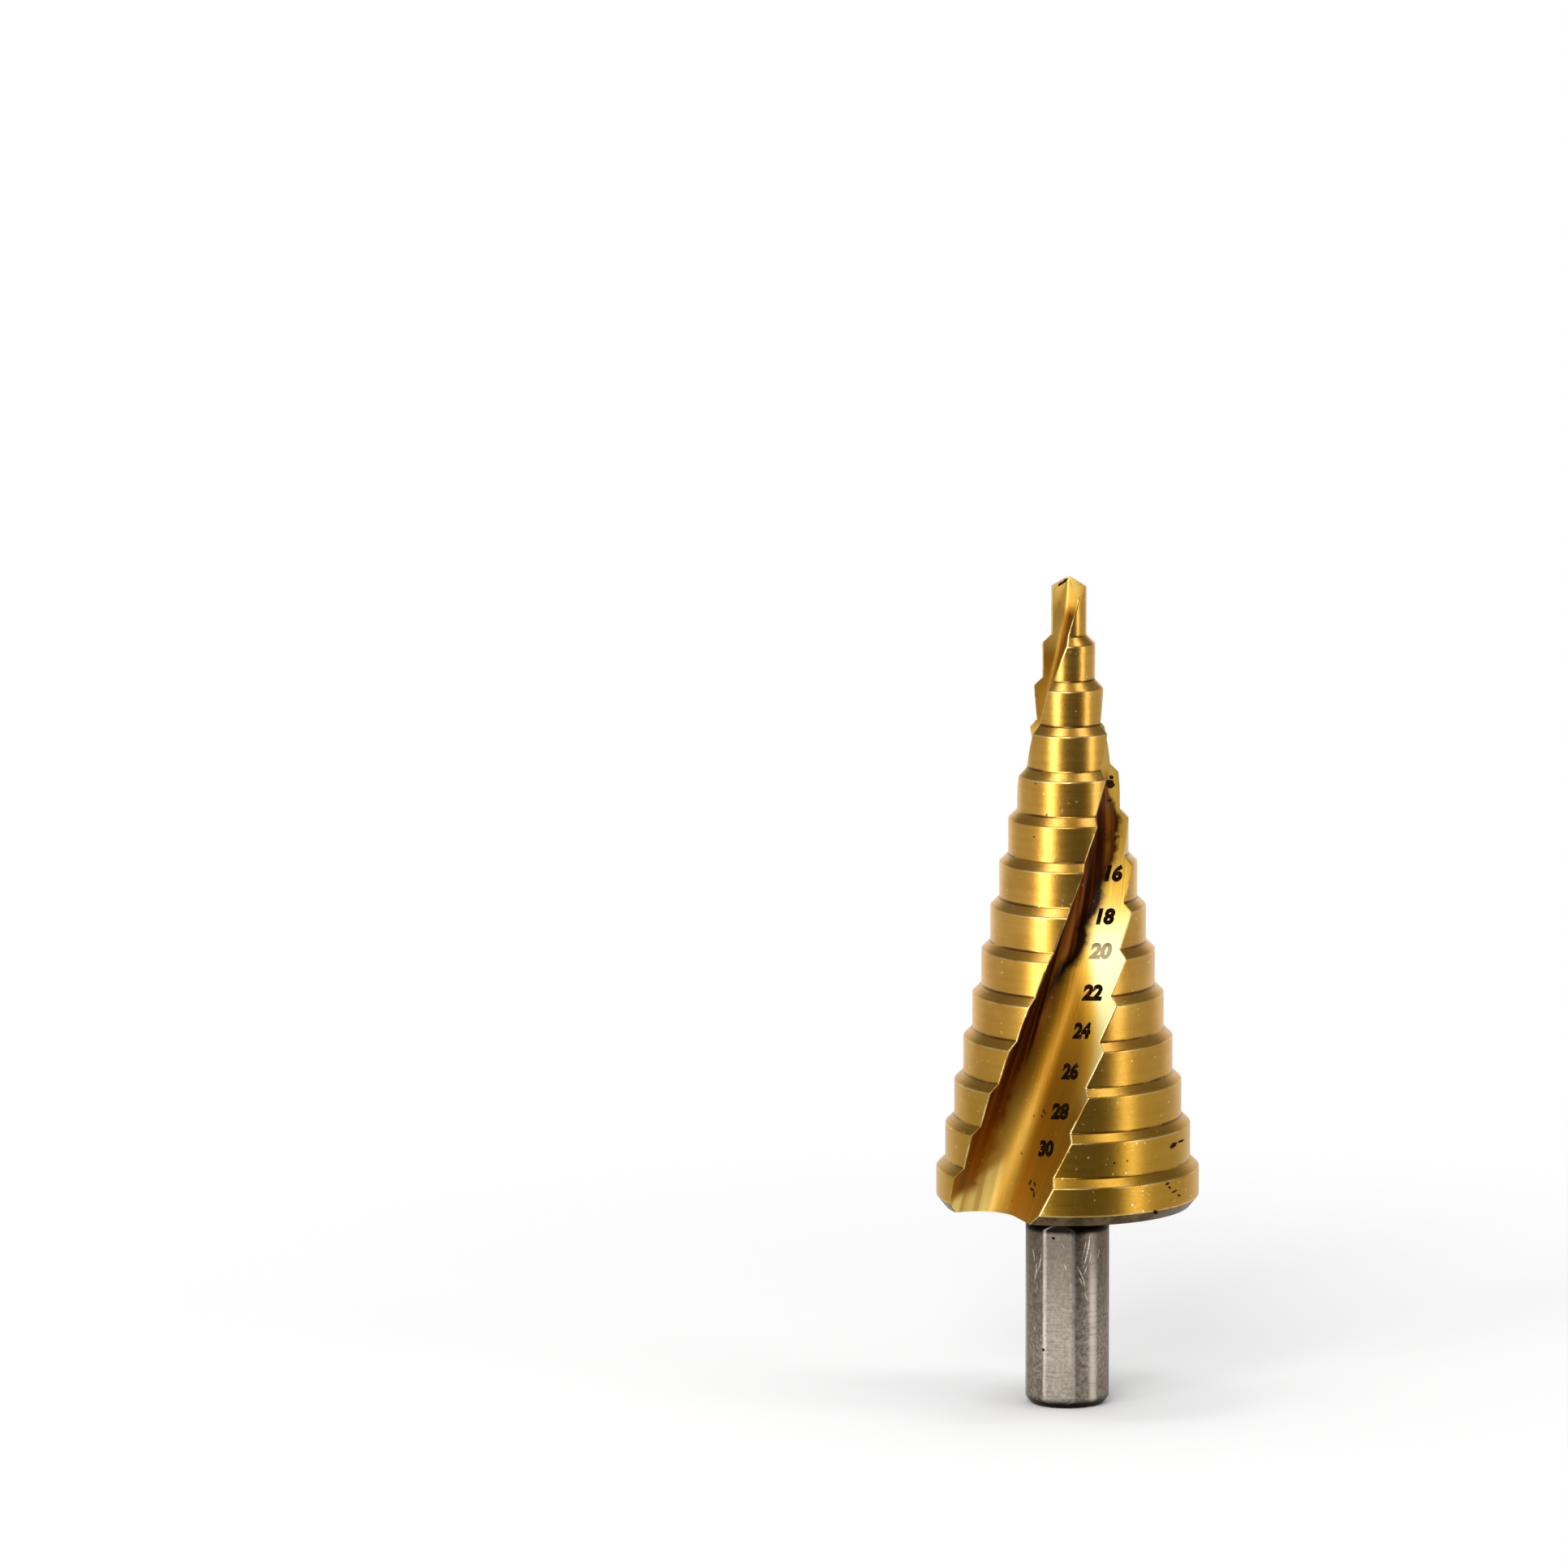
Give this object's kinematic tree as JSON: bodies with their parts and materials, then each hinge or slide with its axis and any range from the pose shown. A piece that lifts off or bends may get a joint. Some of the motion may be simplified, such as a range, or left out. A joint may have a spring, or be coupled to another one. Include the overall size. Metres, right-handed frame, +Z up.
{
  "type": "step drill",
  "caption": "Step drill: a stepped steel cutting cone with two helical flutes and a short split point, on a straight shank with flats for a drill chuck",
  "frame": {"origin": "centre of the shank's end face, on the drill's axis", "axes": "+Z up along the axis from the shank's end to the point; -Y faces the viewer of the marked flute; +X to that viewer's right"},
  "size_m": [0.0298, 0.029, 0.0951],
  "materials": {
    "drill_steel": "satin gold titanium nitride coating on the cone, bare ground steel on the shank"
  },
  "bodies": {
    "root": {"step_drill": "drill_steel"}
  },
  "joints": []
}
